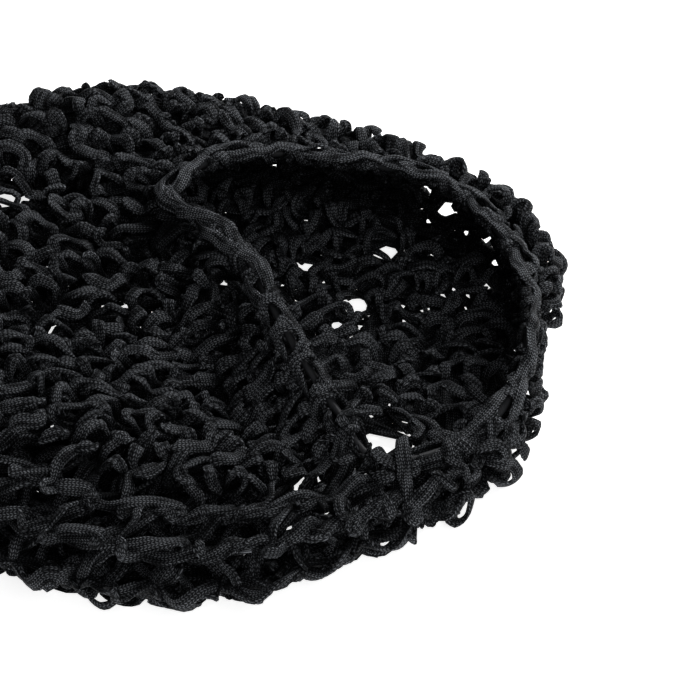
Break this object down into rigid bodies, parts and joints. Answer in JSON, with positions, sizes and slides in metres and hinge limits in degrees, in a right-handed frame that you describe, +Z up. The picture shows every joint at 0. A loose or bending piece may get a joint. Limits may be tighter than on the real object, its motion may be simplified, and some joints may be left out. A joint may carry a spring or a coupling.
{
  "type": "hair net",
  "caption": "Crocheted ribbon-yarn hair net lying collapsed on its side, a hollow net bag gathered at the mouth by a round elastic inside a ladder-stitch edging.",
  "frame": {"origin": "middle of the underside, on the surface the net lies on", "axes": "+X along the bag toward the mouth's side, +Y away from the front, +Z up out of the surface it lies on"},
  "size_m": [0.2547, 0.2311, 0.0485],
  "materials": {
    "ribbon_yarn": "flat knitted ribbon, satin",
    "edging_yarn": "flat knitted ribbon wound tight, satin",
    "elastic": "smooth covered elastic, satin"
  },
  "bodies": {
    "root": {"net_bag": "ribbon_yarn", "edge_band": "edging_yarn", "elastic_cord": "elastic"}
  },
  "joints": []
}
